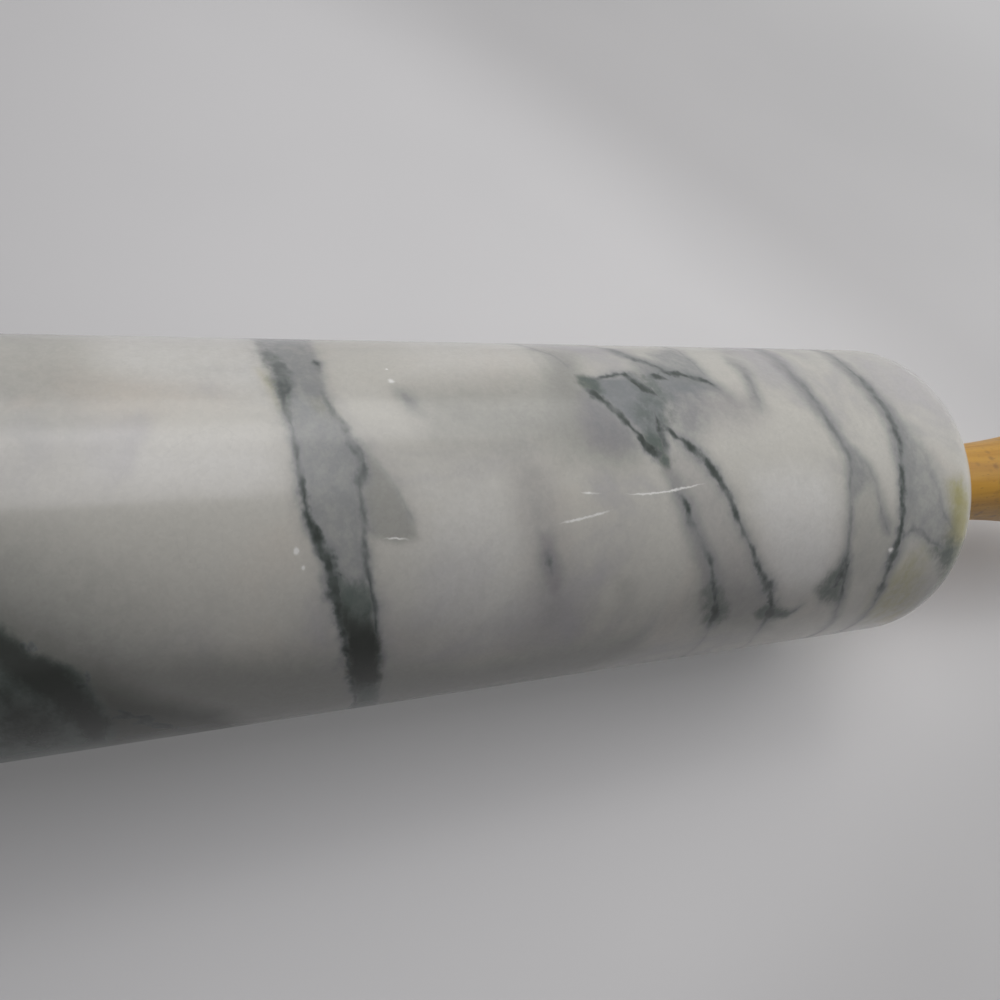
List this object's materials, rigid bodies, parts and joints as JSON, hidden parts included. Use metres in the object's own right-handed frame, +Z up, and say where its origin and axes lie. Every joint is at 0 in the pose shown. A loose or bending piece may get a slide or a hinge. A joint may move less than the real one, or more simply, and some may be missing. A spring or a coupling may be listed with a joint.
{
  "type": "marble rolling pin",
  "caption": "Polished marble rolling pin whose heavy stone barrel turns on a steel axle between turned wooden handles.",
  "frame": {"origin": "centre of the barrel, on the axle", "axes": "+X along the axle towards the right handle, +Z up, so the pin lies as it would on a worktop"},
  "size_m": [0.4566, 0.06, 0.06],
  "materials": {
    "marble": "polished",
    "steel": "satin",
    "nylon": "matt",
    "handle_wood": "lacquered",
    "plug_wood": "lacquered"
  },
  "bodies": {
    "spindle": {"axle_rod": "steel", "left_thrust_washer": "steel", "right_thrust_washer": "steel", "left_handle": "handle_wood", "right_handle": "handle_wood", "left_nut_washer": "steel", "right_nut_washer": "steel", "left_lock_nut": "steel", "right_lock_nut": "steel", "left_end_plug": "plug_wood", "right_end_plug": "plug_wood"},
    "barrel": {"marble_barrel": "marble", "left_bush": "nylon", "right_bush": "nylon"}
  },
  "joints": [
    {"name": "barrel_spin", "type": "hinge", "parent": "spindle", "child": "barrel", "pos_m": [0, 0, 0], "axis": [1, 0, 0], "continuous": true}
  ]
}
